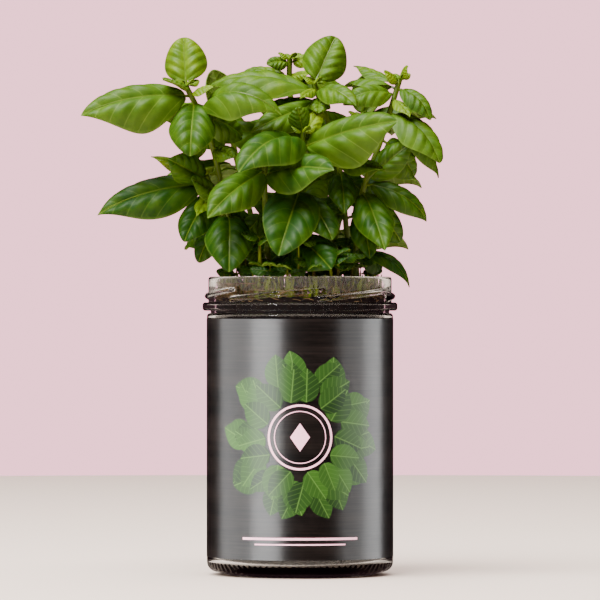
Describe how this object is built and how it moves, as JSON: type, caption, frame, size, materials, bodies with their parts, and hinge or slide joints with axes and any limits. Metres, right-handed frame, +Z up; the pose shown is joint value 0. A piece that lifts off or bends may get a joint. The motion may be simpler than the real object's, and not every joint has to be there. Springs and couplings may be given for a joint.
{
  "type": "jar planter",
  "caption": "Clear straight-sided glass jar with a lug neck and a wrapped label, filled with a coir plug that a bushy basil plant grows out of. The plug lifts out.",
  "frame": {"origin": "middle of the ring that the jar stands on, on the jar's axis", "axes": "+Z up along the jar's axis, -Y towards the front of the plant, +X to its right"},
  "size_m": [0.1551, 0.1086, 0.2323],
  "materials": {
    "clear_glass": "polished",
    "label_paper": "satin",
    "coir": "matte",
    "coir_fibre": "matte",
    "basil_stem": "satin",
    "basil_root": "matte",
    "basil_leaf": "satin"
  },
  "bodies": {
    "jar": {"glass_jar": "clear_glass", "wrap_label": "label_paper"},
    "plant_plug": {"coir_plug": "coir", "fibre_mulch": "coir_fibre", "left_stem": "basil_stem", "left_low_stem": "basil_stem", "centre_left_stem": "basil_stem", "centre_stem": "basil_stem", "top_right_stem": "basil_stem", "right_stem": "basil_stem", "top_back_stem": "basil_stem", "back_left_stem": "basil_stem", "back_right_stem": "basil_stem", "seedling_stems": "basil_stem", "left_roots": "basil_root", "left_low_roots": "basil_root", "centre_left_roots": "basil_root", "centre_roots": "basil_root", "top_right_roots": "basil_root", "right_roots": "basil_root", "top_back_roots": "basil_root", "back_left_roots": "basil_root", "back_right_roots": "basil_root", "left_crown_leaves": "basil_leaf", "left_side_leaves": "basil_leaf", "left_low_leaves": "basil_leaf", "centre_left_leaves": "basil_leaf", "centre_crown_leaves": "basil_leaf", "centre_low_leaves": "basil_leaf", "top_right_crown_leaves": "basil_leaf", "top_right_low_leaves": "basil_leaf", "right_crown_leaves": "basil_leaf", "right_side_leaves": "basil_leaf", "right_low_leaves": "basil_leaf", "top_back_leaves": "basil_leaf", "top_back_low_leaves": "basil_leaf", "back_left_leaves": "basil_leaf", "back_right_leaves": "basil_leaf", "seedling_leaves": "basil_leaf"}
  },
  "joints": [
    {"name": "plug_lift", "type": "slide", "parent": "jar", "child": "plant_plug", "axis": [0, 0, 1], "range_m": [0, 0.13]}
  ]
}
